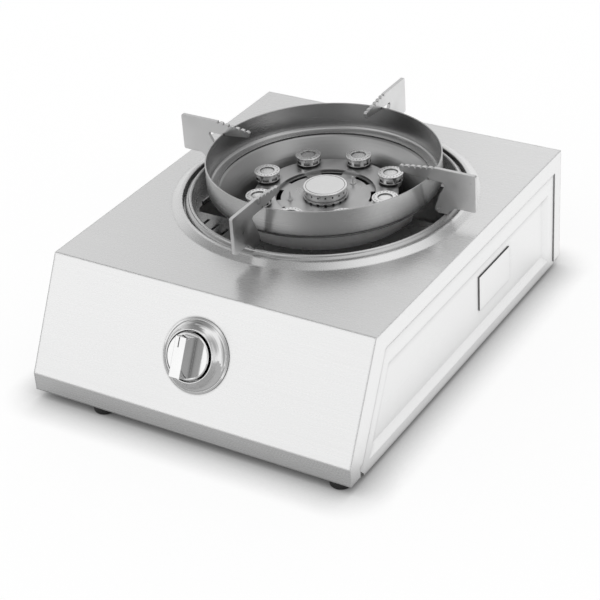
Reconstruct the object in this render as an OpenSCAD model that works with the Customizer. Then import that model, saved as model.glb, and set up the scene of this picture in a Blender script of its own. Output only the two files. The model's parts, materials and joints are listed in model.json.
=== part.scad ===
// Table-top gas stove with one nine-head burner.
// Millimetres, +Z up, +X to the right, the sloped front faces -Y.
// The origin lies on the surface the feet stand on, under the middle of the overall box.

/* [Body] */
// Width of the body
body_w = 300; // [296:1:330]
// Depth of the flat top, from its front fold to the back
top_depth = 333; // [325:1:370]
// How far the sloped front runs forward
slope_run = 48; // [42:1:56]
// Height of the folded shell, from its lower edge to the flat top
shell_h = 106; // [102:1:120]
// Height of the upright lip under the sloped front
lip_h = 16; // [12:1:20]
// Thickness of the sheet steel
sheet_t = 1; // [0.8:0.1:1.2]
// How far the side panels hang below the lower edge of the shell
panel_hang = 3; // [2:0.5:5]
// Height of the shell's side band under the flat top
band_top = 17; // [14:0.5:20]
// Width of the side band behind the sloped front
band_front = 20; // [16:0.5:24]
// Width of the side band at the back
band_rear = 12; // [9:0.5:15]
// Height of the notch at the foot of the front band
band_notch_h = 9; // [6:0.5:12]
// Depth of that notch
band_notch_w = 4; // [2:0.5:6]
// Height of the shell's fold down the back
rear_fold_h = 12; // [10:0.5:16]

/* [Rear panel] */
// Number of vents
vent_count = 12; // [6:1:14]
// Distance from one vent to the next
vent_pitch = 9; // [7:0.5:10]
// Width of one vent
vent_w = 3; // [2:0.25:4]
// Height of the vents
vent_h = 22; // [15:1:30]
// Distance of the row of vents to the left of the middle
vent_left = 34; // [20:1:50]

/* [Side panels] */
// Depth of the pressed field in a side panel
field_depth = 2.5; // [1:0.25:3]
// Distance from the shell's lower edge up to the field
field_low = 6; // [5:0.5:9]
// Distance from the flat top down to the field
field_high = 33; // [28:1:38]
// Distance from the sloped front back to the field
field_front = 31; // [28:1:35]
// Distance from the back forward to the field
field_rear = 24; // [20:1:30]
// Width of the sloping edge along the bottom and the back of the field
field_wide_edge = 8.5; // [6:0.5:10]
// Width of the steep edge along the top and the front of the field
field_steep_edge = 1.5; // [1:0.25:2.5]
// Length of the raised pad in the field
pad_len = 57; // [40:1:70]
// Height of the raised pad
pad_h = 32; // [25:1:36]
// How far the pad stands out of the field
pad_rise = 1; // [0.5:0.25:1.5]
// Distance from the front fold to the middle of the pad
pad_from_fold = 205; // [190:1:220]
// Height of the middle of the pad above the shell's lower edge
pad_mid_h = 45; // [40:1:48]

/* [Burner opening] */
// Distance from the back forward to the burner's axis
burner_from_back = 151; // [145:1:156]
// Radius of the opening
opening_r = 121.8; // [117:0.1:125]
// Width of the level crest of the raised ring round the opening
crest_w = 3; // [2.2:0.1:4.5]
// Width of that ring's slope, from its crest down to the flat top
emboss_w = 6.6; // [4:0.1:8]
// Height of that ring
emboss_h = 3.5; // [2:0.25:4.5]
// Depth of the ledge that carries the drip tray, below the flat top
ledge_drop = 3.5; // [2.5:0.25:5]
// Gap between that ledge and the wall of the drip tray inside it
ledge_gap = 1; // [0.5:0.1:1.5]

/* [Drip tray] */
// Gap between the drip tray and the opening around it
tray_gap = 2.1; // [1.5:0.1:3]
// Thickness of the drip tray
tray_t = 1; // [0.8:0.1:1.2]
// Distance from the tray's edge in to the crest of its bead
bead_in = 4.8; // [4.4:0.1:5.5]
// Half width of the bead
bead_half_w = 1.3; // [1.1:0.1:1.5]
// Height of the bead's crest above the flat top
bead_h = 5; // [4.5:0.25:6]
// Depth of the tray's floor below the flat top
tray_depth = 10; // [8:0.5:12]
// How much wider than the skirt's lower edge the round hole in the tray's floor is, on the radius
tray_hole_gap = 8.8; // [8:0.2:12]
// How far the left window reaches from the burner's axis
window_left = 94; // [90:1:97]
// Half length of the left window
window_half = 60; // [50:1:66]
// How far the right window reaches from the burner's axis
window_right = 104; // [98:1:105]
// Width of the solid strip in front of the right window
window_front = 5; // [3:1:8]
// Height of the turned-up edge beside the left window
window_lip_h = 3; // [2:0.5:4]
// Width of one air slot in the tray
slot_w = 2.6; // [2:0.2:3.5]
// Length of one air slot in the tray
slot_len = 10; // [8:0.5:12]
// Number of those slots
slot_count = 4; // [2:1:4]
// Distance from one slot to the next
slot_pitch = 12; // [9:0.5:13]
// How much further forward each slot lies than the one to its left
slot_step = 4; // [3:0.25:5]
// Distance of the first slot to the left of the burner's axis
slot_first_x = 75; // [72:0.5:78]
// Distance of the first slot in front of the burner's axis
slot_first_y = 73; // [70:0.5:74]
// Least width of floor between a window and the tray's wall
floor_edge = 5; // [4:0.5:8]

/* [Wind ring] */
// Distance from the tray's bead in to the outside of the wind ring
ring_set = 14.9; // [13:0.1:17]
// Height of the ring's rim above the flat top
rim_h = 35.5; // [33:0.5:38]
// Height of the ring's lower edge above the flat top
ring_low = 9.5; // [8.5:0.5:11]
// Thickness of the ring
ring_t = 1.2; // [1:0.1:1.5]
// Radius of the ring's rounded lower edge
ring_round = 4.5; // [3:0.5:6]
// Width of the ledge inside the ring's lower edge
ring_ledge_w = 5; // [4:0.5:6]
// Gap between the small heads and the lower edge of the skirt around them
skirt_gap = 4; // [3:0.1:5]
// Depth of the skirt's lower edge below the flat top
skirt_low = 26; // [22:1:28]
// Thickness of the skirt
skirt_t = 0.8; // [0.6:0.1:1.2]
// Lean of the skirt from upright at its lower edge, in degrees
skirt_low_lean = 11; // [6:1:16]
// How far the skirt's upper edge reaches under the ring's ledge
skirt_under = 1.8; // [1:0.1:3]

/* [Pan supports] */
// Number of pan-support blades
blade_count = 4; // [4:1:4]
// Thickness of one blade
blade_t = 3; // [2:0.25:4]
// Radius of the outer edge of the blades
blade_out_r = 142.6; // [138:0.2:144]
// Radius of the tips of the blades
blade_tip_r = 72.6; // [72:0.2:80]
// Height of the blades' level tops above the ring's rim
blade_rise = 10.2; // [8:0.1:13]
// Height of a blade's outer lower edge above the flat top
blade_low = 12.6; // [10:0.2:14]
// How much lower a blade's tip is than its level top
tip_fall = 4.2; // [2:0.2:5]
// Thickness of a blade's tip, from its top to its underside
tip_h = 5; // [4:0.25:6]
// Radius at which the level top ends and the teeth start
teeth_r = 105; // [103:0.5:108]
// Number of teeth on a blade
tooth_count = 6; // [4:1:8]
// Depth of one tooth
tooth_depth = 2; // [1:0.25:2.5]
// Size of the cut corners of a blade
blade_corner = 1; // [0.5:0.25:3]
// Depth of the notch that seats a blade on the ring's rim
rim_notch = 1.5; // [1:0.25:2]
// Distance from the tray's bead in to the inner edge of a blade's leg
leg_toe = 9.3; // [7:0.1:11]
// How much further out that edge lies where it meets the arm
leg_flare = 9.3; // [6:0.1:11]

/* [Burner] */
// Number of small outer heads
head_count = 8; // [8:1:8]
// Radius of the circle of small heads
head_circle_r = 58; // [57:0.25:58.5]
// Radius of a small head's cap
head_cap_r = 11.2; // [10.5:0.1:11.4]
// Height of a small head's top above the flat top
head_top = 8; // [7:0.25:9]
// Thickness of a small head's cap at its edge
head_cap_t = 1.1; // [0.8:0.1:1.6]
// How far the wall under a small head's cap stands in from the cap's edge
head_wall_in = 0.7; // [0.4:0.1:1.2]
// Radius of a small head's foot
head_foot_r = 8.2; // [7:0.1:8.8]
// Height of a small head's foot
head_foot_h = 1.6; // [1:0.1:2.4]
// Radius of the sunk disc in a small head's top
head_disc_r = 6.4; // [5.5:0.1:7]
// Depth of that sunk disc
head_disc_depth = 0.9; // [0.4:0.1:1.2]
// Number of flame ports in the wall of one small head
head_ports = 8; // [6:1:8]
// Width of one of those ports
port_w = 5.4; // [4:0.2:6]
// Height of one of those ports
port_h = 2.7; // [2:0.1:3.2]
// Depth of one of those ports
port_depth = 1.4; // [0.8:0.1:2]
// Number of small holes near the edge of a small head's cap
rim_holes = 20; // [12:1:24]
// Radius of one of those holes
rim_hole_r = 0.45; // [0.3:0.05:0.6]
// Distance of those holes from the edge of the cap
rim_hole_in = 1.9; // [1.4:0.1:2.4]
// Radius of a small head's threaded shank
shank_r = 5; // [4:0.1:5.5]
// Length of that shank
shank_len = 11; // [8:0.5:14]
// Radius of the bore through a small head
head_bore_r = 3; // [2:0.1:3.2]
// Radius of a boss that carries a small head
boss_r = 9; // [8.8:0.1:9.5]
// How far the burner deck reaches past the circle of small heads
deck_edge = 4; // [3:0.25:6]
// Depth of the deck's face below the flat top
deck_drop = 1; // [0.5:0.25:2]
// Thickness of the deck
deck_t = 3; // [2.5:0.25:4]
// Width of the deck's raised ring
deck_ring_w = 17.5; // [15:0.25:18]
// Thickness of the sunk middle of the deck
deck_mid_t = 1.5; // [1.2:0.1:2]
// Number of air slots in the sunk middle
air_slots = 8; // [6:1:8]
// Distance of those air slots from the raised ring
air_slot_edge = 0.6; // [0.3:0.1:1.5]
// Width of those air slots
air_slot_w = 4; // [3:0.25:5]
// Angle that one air slot spans, in degrees
air_slot_span = 26; // [18:1:30]
// Radius of the deck's hole for the centre head
deck_hole_r = 16.5; // [16.3:0.1:17]
// Height of the cast burner body
body_cast_h = 24; // [21:0.5:27]
// Wall of the cast burner body
cast_wall = 3; // [2.5:0.1:3.4]
// How far the cup under the centre head reaches past the inner mixing tube
cup_edge = 2; // [1.5:0.1:3]
// Depth of that cup
cup_h = 30; // [27:0.5:33]
// Depth of the cup's floor below the flat top
cup_low = 42; // [40:0.5:43]
// Width of a spoke between cup and channel
spoke_w = 8; // [6:0.5:10]
// Radius of the centre cap
cap_r = 19; // [18:0.1:20]
// Height of the centre cap's top above the flat top
cap_top = 6.5; // [5.5:0.25:8]
// Thickness of the centre cap
cap_t = 1.6; // [1.2:0.1:2.4]
// How far the centre head's wall stands in from the cap's edge
centre_wall_in = 0.9; // [0.5:0.1:1.5]
// Radius of the centre head's lower sleeve
centre_sleeve_r = 16; // [15.5:0.1:16.2]
// Radius of the centre head's bore
centre_bore_r = 13; // [12:0.1:13.4]
// Number of flame ports round the centre head, and of slots round its foot
centre_ports = 18; // [12:1:20]
// Radius of one of those ports
centre_port_r = 0.8; // [0.5:0.1:1.1]
// Width of one of those slots
centre_slot_w = 2.2; // [1.4:0.1:3]
// Height of the ignition electrode's point above the deck's sunk middle
electrode_h = 8; // [6:0.5:10]

/* [Gas feed] */
// Height of the valve's outlets above the bottom pan
feed_h = 40; // [37:0.5:45]
// Half distance between the two mixing tubes
tube_half_gap = 17; // [16:0.25:17.5]
// Outer radius of the outer burner's mixing tube
outer_tube_r = 8.5; // [8:0.1:9]
// Outer radius of the inner burner's mixing tube
inner_tube_r = 8; // [7.5:0.1:8.5]
// Wall of the mixing tubes
tube_wall = 1.7; // [1.4:0.1:2]
// Bend radius of the mixing tubes
tube_bend_r = 20; // [16:0.5:20]
// Outer radius of a mixing tube's bell mouth
bell_r = 13; // [12:0.1:13.2]
// Length of the bell mouth
bell_len = 16; // [14:0.5:18]
// Distance from the front fold back to the bell mouths
bell_from_fold = 42; // [41:0.5:44]
// Wall of an air shutter's sleeve
shutter_wall = 1.2; // [0.8:0.1:1.4]
// Length of an air shutter's lever
shutter_lever = 10; // [6:0.5:14]
// Number of air windows in a bell mouth and its shutter
air_windows = 4; // [3:1:4]
// Distance from the valve's block back to the bell mouths
valve_to_bell = 12; // [11:0.5:13]
// How far an injector's tip reaches into its bell mouth
injector_in = 2; // [1:0.25:3]
// Half length of the valve's block
valve_half_w = 27; // [26:0.5:30]
// Depth of the valve's block, front to back
valve_depth = 22; // [20:0.5:24]
// Height of the valve's block
valve_h = 20; // [18:0.5:22]
// Radius of the valve's round housing
valve_housing_r = 14; // [12:0.5:15]
// Half width of the valve's bracket
valve_bracket_half_w = 24; // [23:0.5:27]
// How far that bracket reaches up and down the slope from the valve's stem
valve_bracket_reach = 16; // [15:0.5:18]
// Length of that bracket's foot on the bottom pan
valve_bracket_foot = 14; // [11:0.5:16]
// Radius of an injector's nozzle
injector_r = 3.5; // [3:0.1:4]
// Outer radius of the gas pipe
pipe_r = 5; // [4:0.25:6]
// Wall of the gas pipe
pipe_wall = 1; // [0.8:0.1:1.2]
// Bend radius of the gas pipe
pipe_bend_r = 20; // [16:1:30]
// Distance of the gas inlet from the right side
inlet_side_in = 50; // [40:1:65]
// How far the gas inlet reaches behind the body
inlet_reach = 24; // [20:1:30]
// Radius of the inlet's male thread
thread_r = 10.4; // [9.5:0.1:11]
// How far the gas pipe goes into the inlet
pipe_socket = 6; // [4:0.5:9]
// Radius of the inlet's bore
inlet_bore_r = 3.5; // [3:0.25:5]

/* [Knob] */
// Distance from the front fold down the slope to the knob's axis
knob_down = 50.3; // [48:0.5:53]
// Width of the bezel round the knob
bezel_w = 10; // [8:0.1:12]
// Radial gap between the knob and the bezel
bezel_gap = 1.2; // [0.9:0.05:1.6]
// Height of the bezel over the sloped front
bezel_h = 10.8; // [9.5:0.1:12]
// Radius of the knob
knob_r = 19; // [18:0.1:19.2]
// Height of the knob's face over the sloped front
knob_face = 13; // [12:0.25:14]
// Gap under the knob, over the sloped front
knob_clear = 4; // [3.6:0.1:5]
// Wall of the knob
knob_wall = 2.5; // [2:0.25:3]
// Height of the grip bar over the knob's face
bar_h = 14; // [10:0.5:16]
// Length of the grip bar
bar_len = 32.6; // [30:0.2:34]
// Width of the grip bar at its front
bar_w = 9.8; // [8:0.2:11]
// Extra width of the grip bar at its root
bar_draft = 0.8; // [0.4:0.1:1.2]
// Length of the pointer mark
pointer_len = 8; // [6:0.5:10]
// Width of the pointer mark
pointer_w = 0.8; // [0.6:0.1:1.2]
// Radius of the valve's stem
stem_r = 4; // [3.5:0.1:4.5]
// Distance of the valve's face behind the sloped front
valve_set = 24; // [22:0.5:26]
// How far the knob is pushed in
push_travel = 3; // [2:0.25:3.4]
// Length of the return spring
spring_len = 11; // [9:0.5:13]
// Radius of the return spring's coil
spring_r = 6; // [5.8:0.1:6.5]
// Radius of the return spring's wire
spring_wire_r = 0.5; // [0.4:0.05:0.6]
// Turns of the return spring
spring_turns = 4; // [3:1:5]

/* [Feet and fixings] */
// Height of the feet
foot_h = 8; // [6:0.5:12]
// Radius of a foot
foot_r = 10; // [9:0.5:12]
// Distance of the front feet behind the lip
foot_front_in = 11; // [10:0.5:20]
// Distance of the front left foot from the left side
foot_left_in = 62; // [20:1:70]
// Distance of the other feet from their sides
foot_side_in = 15; // [13:0.5:30]
// Distance of the rear feet in front of the back
foot_rear_in = 25; // [18:1:40]
// Radius of a screw's shank
screw_r = 2; // [1.5:0.1:2.2]
// Radius of a screw's head
screw_head_r = 3.6; // [3.3:0.1:4]
// Height of a screw's head
screw_head_t = 2; // [1.5:0.1:2.4]
// How far a screw reaches past the piece that it holds
screw_past = 4; // [3:0.5:5]
// Thickness of a foot's rubber between its screw's head and the bottom pan
foot_web = 2.5; // [2:0.25:3.5]
// Radius of the shank of a rear screw
rear_screw_r = 1.6; // [1.3:0.1:2]
// Distance of the outer rear screws from the sides
rear_screw_in = 30; // [20:1:45]
// Thickness of brackets
bracket_t = 1.5; // [1.2:0.1:2]
// Radius of the ignition and flame-sensor leads
lead_r = 1.4; // [1:0.1:1.6]

/* [Clearances] */
// Gap between a seat and the piece that lifts off it, or the lead that ends there
seat_gap = 0.3; // [0.2:0.05:0.4]
// Radial gap of a shaft that turns in its hole
run_gap = 0.05; // [0.03:0.01:0.08]
// Radial gap around a screw's shank
screw_gap = 0.1; // [0.05:0.05:0.15]

/* [Hidden] */
$fn = 96;

// Places along the stove
slope_drop = shell_h - lip_h;
slope_tilt = atan(slope_run / slope_drop);
knob_reach = (knob_down + bar_len / 2) * sin(slope_tilt)
    + (knob_face + bar_h) * cos(slope_tilt) - slope_run;
knob_ahead = max(0, knob_reach);
total_depth = knob_ahead + slope_run + top_depth + inlet_reach;
front_y = knob_ahead - total_depth / 2;
fold_y = front_y + slope_run;
back_y = fold_y + top_depth;
burner_y = back_y - burner_from_back;

// Heights
pan_z = foot_h;
shell_low_z = pan_z;
panel_low_z = shell_low_z - panel_hang;
top_z = shell_low_z + shell_h;
lip_top_z = shell_low_z + lip_h;
feed_z = pan_z + feed_h;

// The knob's axis crosses the sloped front here
knob_y = fold_y - knob_down * sin(slope_tilt);
knob_z = top_z - knob_down * cos(slope_tilt);

// Circles round the burner's axis: the raised ring, the drip tray, the wind ring, the blades' legs
crest_r = opening_r + crest_w;
emboss_r = crest_r + emboss_w;
tray_r = opening_r - tray_gap;
bead_r = tray_r - bead_in;
tray_wall_r = bead_r - bead_half_w;
ledge_in_r = tray_wall_r + tray_t + ledge_gap;
ring_r = bead_r - ring_set;
ring_ledge_r = ring_r - ring_round - ring_ledge_w;
leg_in_r = bead_r - leg_toe;
skirt_low_r = head_circle_r + head_cap_r + skirt_gap;
tray_hole_r = skirt_low_r + tray_hole_gap;
blade_top = rim_h + blade_rise;

// Side panels lie just inside the shell
half_w = body_w / 2;
panel_x = half_w - sheet_t;
rear_in_y = back_y - sheet_t;
rear_panel_y = rear_in_y - sheet_t;

// Burner: the deck's underside carries the cast body
deck_under_z = top_z - deck_drop - deck_t;
deck_mid_z = deck_under_z - deck_mid_t;
channel_low_z = deck_under_z - body_cast_h;
deck_r = head_circle_r + deck_edge;
deck_step_r = deck_r - deck_ring_w;
deck_lap = 1.5;
channel_in_r = deck_step_r + deck_lap - cast_wall;
channel_mid_r = (channel_in_r + deck_r) / 2;
cup_low_z = top_z - cup_low;
cup_r = tube_half_gap + inner_tube_r + cup_edge;
bracket_half_y = 12;

// Valve: heights along the knob's axis, measured out from the sloped front
knob_low = knob_clear;
collar_t = 2.5;
valve_face = -valve_set;
collar_low = valve_face + spring_len;
stem_low = valve_face - 10;
stem_hole_low = stem_low - push_travel - 1.5;
stem_high = knob_face - 2.5;
flange_t = 4;
flange_half_w = 22;
flange_half_h = 9;
valve_screw_x = 17.5;
valve_back_y = fold_y + bell_from_fold - valve_to_bell;
valve_front_y = valve_back_y - valve_depth;
outlet_boss_len = 4;
injector_hex_len = 4;
injector_tip_y = fold_y + bell_from_fold + injector_in;
magnet_r = 8;
magnet_len = 12;
piezo_w = 18;

// The knob's hole in the bezel
bezel_hole_r = knob_r + bezel_gap;

// Gas pipe leaves the valve's right side and runs back to the inlet
inlet_x = body_w / 2 - inlet_side_in;
pipe_y = valve_front_y + valve_depth / 2;
pipe_nut_len = 8;
inlet_shank_len = 14;
inlet_shank_r = thread_r - 1.4;
inlet_hex_t = 6;

// Igniter and flame sensor: angle round the burner's axis and distance from it
electrode_angle = -142;
sensor_angle = 70;
probe_ceramic_r = 2.2;
probe_r = cup_r + probe_ceramic_r + 1.3;
probe_low_z = cup_low_z - 6;

// Points of an arc, from angle a0 to a1, in n steps
function arc(cx, cy, r, a0, a1, n) =
    [for (i = [0:n]) let (a = a0 + (a1 - a0) * i / n) [cx + r * cos(a), cy + r * sin(a)]];

// Extrudes an outline in Y and Z along X
module along_x(x0, x1) {
    translate([x0, 0, 0]) rotate([90, 0, 90]) linear_extrude(x1 - x0) children();
}

// Extrudes an outline in X and Z along Y
module along_y(y0, y1) {
    translate([0, y1, 0]) rotate([90, 0, 0]) linear_extrude(y1 - y0) children();
}

// Frame of the knob: +Z out of the sloped front, +Y up the slope
module at_knob() {
    translate([0, knob_y, knob_z]) rotate([90 - slope_tilt, 0, 0]) children();
}

// Frame of the burner: its axis, with Z = 0 at the flat top
module at_burner() {
    translate([0, burner_y, top_z]) children();
}

// Cylinder along +Y between two places
module rod_y(x, z, y0, y1, r) {
    translate([x, y1, z]) rotate([90, 0, 0]) cylinder(r = r, h = y1 - y0);
}

// Cylinder along +X between two places
module rod_x(y, z, x0, x1, r) {
    translate([x0, y, z]) rotate([0, 90, 0]) cylinder(r = r, h = x1 - x0);
}

// Folded sheet of the top, the sloped front and the lip, seen from the side
function fold_outline() = let (t = sheet_t, turn = tan((90 - slope_tilt) / 2)) [
    [back_y, top_z], [fold_y, top_z], [front_y, lip_top_z], [front_y, shell_low_z],
    [front_y + t, shell_low_z], [front_y + t, lip_top_z - t * tan(slope_tilt / 2)],
    [fold_y + t * turn, top_z - t], [back_y, top_z - t]];

// Y of a line parallel to the slope and set back from it, at height z
function behind_slope(back, z) =
    fold_y - (top_z - z) * tan(slope_tilt) + back / cos(slope_tilt);

// Band of the shell that turns down over a side panel
function band_outline() = let (
        inner_z = top_z - band_top,
        notch_z = shell_low_z + band_notch_h,
        notch_y = behind_slope(band_front, notch_z)) [
    [back_y, top_z], [fold_y, top_z], [front_y, lip_top_z], [front_y, shell_low_z],
    [notch_y - band_notch_w, shell_low_z], [notch_y - band_notch_w, notch_z], [notch_y, notch_z],
    [behind_slope(band_front, inner_z), inner_z], [back_y - band_rear, inner_z],
    [back_y - band_rear, shell_low_z], [back_y, shell_low_z]];

module top_shell() {
    t = sheet_t;
    color("lightgray") difference() {
        union() {
            difference() {
                along_x(-half_w, half_w) polygon(fold_outline());
                translate([0, burner_y, top_z - 2 * t]) cylinder(r = emboss_r, h = 3 * t, $fn = 180);
            }
            at_burner() rotate_extrude($fn = 180) polygon([
                [emboss_r, -t], [emboss_r, 0], [crest_r, emboss_h], [opening_r, emboss_h],
                [opening_r, -ledge_drop], [ledge_in_r, -ledge_drop],
                [ledge_in_r, -ledge_drop - t], [opening_r + t, -ledge_drop - t],
                [opening_r + t, emboss_h - t], [crest_r - t / 3, emboss_h - t]]);
            along_x(-half_w, -panel_x) polygon(band_outline());
            along_x(panel_x, half_w) polygon(band_outline());
            translate([-half_w, rear_in_y, top_z - rear_fold_h]) cube([body_w, t, rear_fold_h]);
        }
        at_knob() translate([0, 0, -3 * t]) cylinder(r = stem_r + 4, h = 6 * t);
        rear_screw_places(rear_in_y - t, back_y + t, rear_screw_r + screw_gap);
    }
}

// The three screws that hold the shell's rear fold to the rear panel
module rear_screw_places(y0, y1, r) {
    for (x = [-half_w + rear_screw_in, 0, half_w - rear_screw_in])
        rod_y(x, top_z - rear_fold_h / 2, y0, y1, r);
}

// Outline of a side panel
function panel_outline() = let (
        t = sheet_t,
        back = rear_panel_y,
        high = top_z - t,
        front = front_y + band_front + t) [
    [behind_slope(3 * t, high), high], [back, high], [back, panel_low_z], [front, panel_low_z],
    [front, panel_low_z + 2 * t], [behind_slope(4 * t, lip_top_z), lip_top_z]];

// Outline of the pressed field, drawn in from its edge along the wide and the steep sides
function field_outline(wide, steep) = let (
        low = shell_low_z + field_low + wide,
        high = top_z - field_high - steep) [
    [behind_slope(field_front + steep, low), low], [behind_slope(field_front + steep, high), high],
    [back_y - field_rear - wide, high], [back_y - field_rear - wide, low]];

// Right-hand side panel, whose outer face is at panel_x
module panel_right() {
    t = sheet_t;
    deep = field_depth;
    difference() {
        union() {
            along_x(panel_x - t, panel_x) polygon(panel_outline());
            hull() {
                along_x(panel_x - t, panel_x - t / 2) polygon(field_outline(-t, -t));
                along_x(panel_x - deep - t, panel_x - deep - t / 2)
                    polygon(field_outline(field_wide_edge - t, field_steep_edge - t));
            }
        }
        hull() {
            along_x(panel_x, panel_x + t) polygon(field_outline(0, 0));
            along_x(panel_x - deep, panel_x - deep + t / 10)
                polygon(field_outline(field_wide_edge, field_steep_edge));
        }
    }
    translate([panel_x - deep - t / 2, fold_y + pad_from_fold - pad_len / 2,
               shell_low_z + pad_mid_h - pad_h / 2])
        cube([pad_rise + t / 2, pad_len, pad_h]);
}

module side_panel_left() {
    color("gainsboro") mirror([1, 0, 0]) panel_right();
}

module side_panel_right() {
    color("gainsboro") panel_right();
}

module rear_panel() {
    t = sheet_t;
    vent_start = -vent_left - (vent_pitch * (vent_count - 1) + vent_w) / 2;
    color("silver") difference() {
        translate([-panel_x, rear_panel_y, pan_z]) cube([2 * panel_x, t, top_z - sheet_t - pan_z]);
        rod_y(inlet_x, feed_z, rear_panel_y - t, rear_in_y + t, inlet_shank_r + screw_gap);
        for (i = [0:vent_count - 1])
            translate([vent_start + vent_pitch * i, rear_panel_y - t, feed_z]) cube([vent_w, 3 * t, vent_h]);
        rear_screw_places(rear_panel_y - t, rear_in_y + t, rear_screw_r + screw_gap);
    }
}

module rear_screws() {
    color("dimgray") {
        rear_screw_places(rear_panel_y - screw_past, back_y, rear_screw_r);
        rear_screw_places(back_y, back_y + screw_head_t, screw_head_r);
    }
}

module bottom_pan() {
    t = sheet_t;
    upstand_h = 12;
    pan_half = panel_x - t;
    color("silver") difference() {
        union() {
            translate([-pan_half, front_y + t, pan_z]) cube([2 * pan_half, rear_panel_y - front_y - t, t]);
            translate([-pan_half, front_y + t, pan_z]) cube([2 * pan_half, t, upstand_h]);
        }
        for (p = foot_places) translate([p.x, p.y, pan_z - t]) cylinder(r = screw_r + screw_gap, h = 3 * t);
    }
}

// Where the four feet stand
foot_places = [
    [foot_left_in - half_w, front_y + foot_front_in], [half_w - foot_side_in, front_y + foot_front_in],
    [foot_side_in - half_w, back_y - foot_rear_in], [half_w - foot_side_in, back_y - foot_rear_in]];

module feet() {
    recess_h = foot_h - foot_web;
    recess_r = screw_head_r + 0.6;
    draft = 0.8;
    edge = 1;
    color("black") for (p = foot_places) translate([p.x, p.y, 0]) difference() {
        rotate_extrude() polygon([
            [0, 0], [foot_r - draft - edge, 0], [foot_r - draft, edge], [foot_r, foot_h], [0, foot_h]]);
        translate([0, 0, -1]) cylinder(r = recess_r, h = recess_h + 1);
        cylinder(r = screw_r + screw_gap, h = 2 * foot_h);
    }
}

module foot_screws() {
    recess_h = foot_h - foot_web;
    color("dimgray") for (p = foot_places) translate([p.x, p.y, recess_h]) {
        translate([0, 0, -screw_head_t]) cylinder(r = screw_head_r, h = screw_head_t);
        translate([0, 0, -screw_head_t / 2])
            cylinder(r = screw_r, h = screw_head_t / 2 + foot_web + sheet_t + screw_past);
    }
}

module knob_bezel() {
    lip = 0.7;
    bezel_r = bezel_hole_r + bezel_w;
    color("silver") at_knob() rotate_extrude() polygon(concat(
        [[bezel_hole_r, 0], [bezel_r, 0], [bezel_r, 0.8], [bezel_r - 1.6, 1.5], [bezel_r - 2, 1.1],
         [bezel_r - 2.8, 1.9]],
        [for (i = [1:6]) let (s = i / 6)
            [bezel_r - 2.8 - (bezel_r - 2.8 - bezel_hole_r - 2 * lip) * s,
             1.9 + (bezel_h - 0.6 - 1.9) * (0.35 * s + 0.65 * s * s)]],
        [[bezel_hole_r + 1.5 * lip, bezel_h], [bezel_hole_r + lip / 2, bezel_h],
         [bezel_hole_r, bezel_h - lip]]));
}

// Half size of the pointer's pocket in the grip bar
pointer_depth = 0.4;
pointer_y = bar_len / 2 - pointer_len - 0.6;

module pointer_body() {
    translate([-pointer_w / 2 - 1.2, pointer_y, knob_face + bar_h - pointer_depth])
        cube([pointer_w, pointer_len, pointer_depth]);
}

module knob() {
    edge = 0.8;
    hub_r = stem_r + 2.5;
    color("gainsboro") at_knob() difference() {
        union() {
            rotate_extrude() polygon([
                [0, knob_face], [0, knob_low], [hub_r, knob_low], [hub_r, knob_face - knob_wall],
                [knob_r - knob_wall, knob_face - knob_wall], [knob_r - knob_wall, knob_low],
                [knob_r, knob_low], [knob_r, knob_face - edge], [knob_r - edge, knob_face]]);
            hull() {
                translate([-(bar_w + bar_draft) / 2, -bar_len / 2, knob_face - edge])
                    cube([bar_w + bar_draft, bar_len, edge]);
                translate([-bar_w / 2, -bar_len / 2, knob_face + bar_h - edge])
                    cube([bar_w, bar_len, edge]);
            }
        }
        translate([0, 0, knob_low - 1]) cylinder(r = stem_r + run_gap, h = stem_high + run_gap - knob_low + 1);
        pointer_body();
    }
}

module knob_pointer() {
    color("dimgray") at_knob() pointer_body();
}

module valve_stem() {
    flat_depth = 1;
    color("goldenrod") at_knob() difference() {
        translate([0, 0, stem_low]) cylinder(r = stem_r, h = stem_high - stem_low);
        translate([stem_r - flat_depth, -stem_r, stem_high - 8]) cube([2, 2 * stem_r, 9]);
    }
}

module thrust_collar() {
    color("darkgray") at_knob() translate([0, 0, collar_low]) difference() {
        cylinder(r = spring_r + 1.5, h = collar_t);
        translate([0, 0, -1]) cylinder(r = stem_r + run_gap, h = collar_t + 2);
    }
}

// Closed tube of the given radius and number of sides along a list of points
module tube(path, r, sides) {
    n = len(path);
    function along(i) = let (a = path[max(i - 1, 0)], b = path[min(i + 1, n - 1)]) (b - a) / norm(b - a);
    function side_of(d) = let (u = abs(d.z) < 0.9 ? [0, 0, 1] : [1, 0, 0], s = cross(d, u)) s / norm(s);
    points = [for (i = [0:n - 1]) let (d = along(i), s = side_of(d), u = cross(s, d))
        for (k = [0:sides - 1]) let (a = 360 * k / sides) path[i] + r * (cos(a) * s + sin(a) * u)];
    walls = [for (i = [0:n - 2], k = [0:sides - 1]) let (a = i * sides + k, b = i * sides + (k + 1) % sides)
        each [[a, b, b + sides], [a, b + sides, a + sides]]];
    low_end = [for (k = [1:sides - 2]) [0, k + 1, k]];
    base = (n - 1) * sides;
    high_end = [for (k = [1:sides - 2]) [base, base + k, base + k + 1]];
    polyhedron(points, concat(walls, low_end, high_end));
}

module return_spring() {
    steps = 12;
    low = valve_face + spring_wire_r;
    rise = spring_len - 2 * spring_wire_r;
    turn_points = [for (i = [0:spring_turns * steps]) let (a = 360 * i / steps)
        [spring_r * cos(a), spring_r * sin(a), low + rise * i / (spring_turns * steps)]];
    color("silver") at_knob() tube(turn_points, spring_wire_r, 6);
}

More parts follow.
